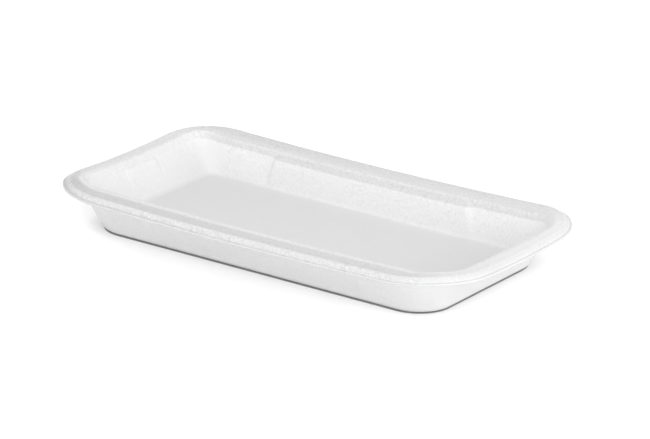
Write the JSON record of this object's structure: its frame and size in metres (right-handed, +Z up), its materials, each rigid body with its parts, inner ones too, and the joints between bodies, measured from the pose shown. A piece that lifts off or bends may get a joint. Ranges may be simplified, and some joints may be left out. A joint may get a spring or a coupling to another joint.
{
  "type": "foam meat tray",
  "caption": "Shallow oblong foam meat tray with flared walls, a flat flange and a thin trimmed edge.",
  "frame": {"origin": "centre of the tray's footprint, on the flat base it rests on", "axes": "+X along the tray's length, +Y across it, +Z up out of the open side"},
  "size_m": [0.273, 0.1484, 0.0274],
  "materials": {
    "foam": "white expanded foam skin, matte with a faint sheen"
  },
  "bodies": {
    "root": {"foam_tray": "foam"}
  },
  "joints": []
}
